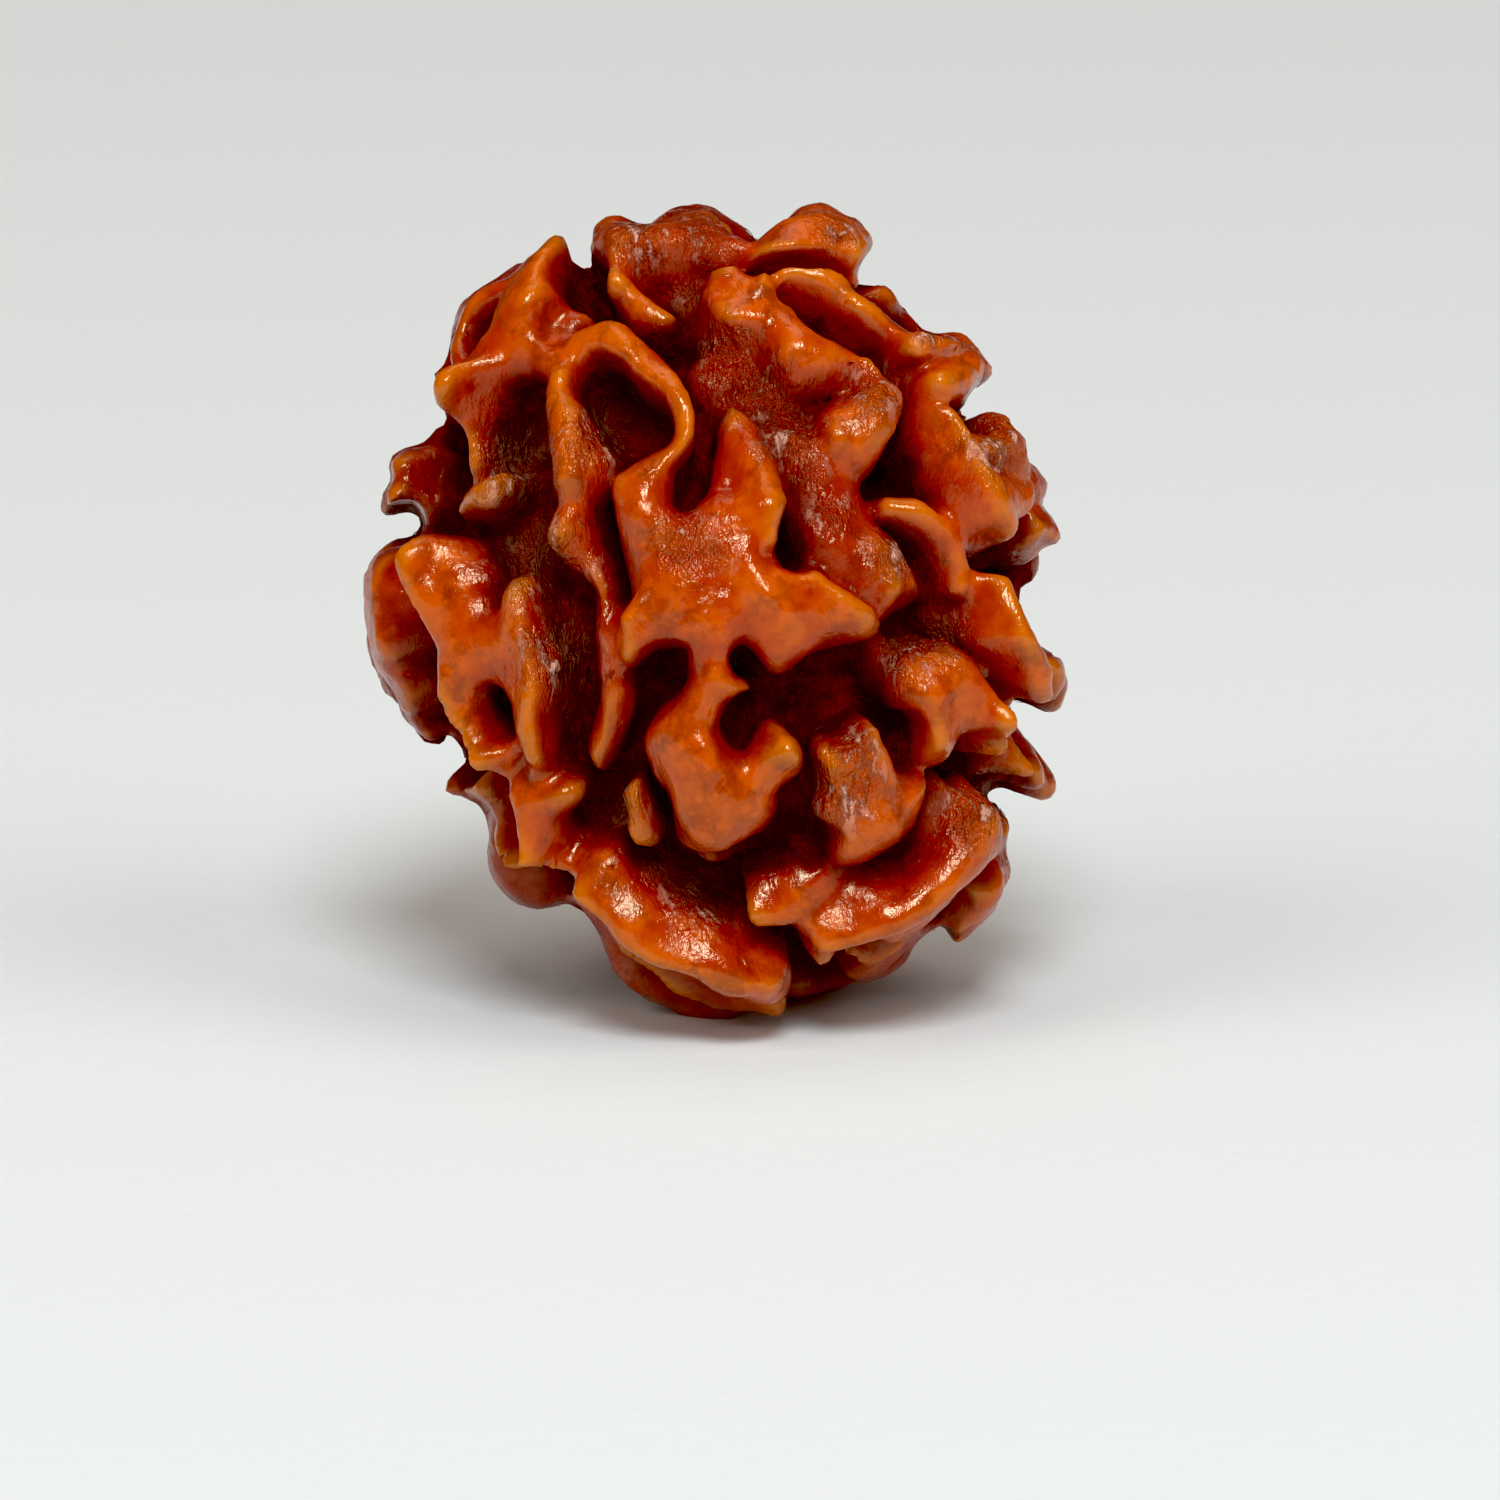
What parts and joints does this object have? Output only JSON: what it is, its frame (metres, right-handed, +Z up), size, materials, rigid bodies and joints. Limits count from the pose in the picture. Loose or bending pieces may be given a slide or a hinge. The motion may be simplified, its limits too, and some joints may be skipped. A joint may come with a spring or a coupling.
{
  "type": "rudraksha seed",
  "caption": "Egg-shaped dried fruit stone with deep winding furrows, lobed plates and pits all over, lying on a few small low lobes.",
  "frame": {"origin": "middle of the bounding box in plan, on the level the seed rests on", "axes": "+Z up from the resting level, -Y towards the face with the widest plates, +X to its right"},
  "size_m": [0.019, 0.019, 0.0219],
  "materials": {
    "seed_stone": "waxed, semi-gloss"
  },
  "bodies": {
    "root": {"rudraksha_seed": "seed_stone"}
  },
  "joints": []
}
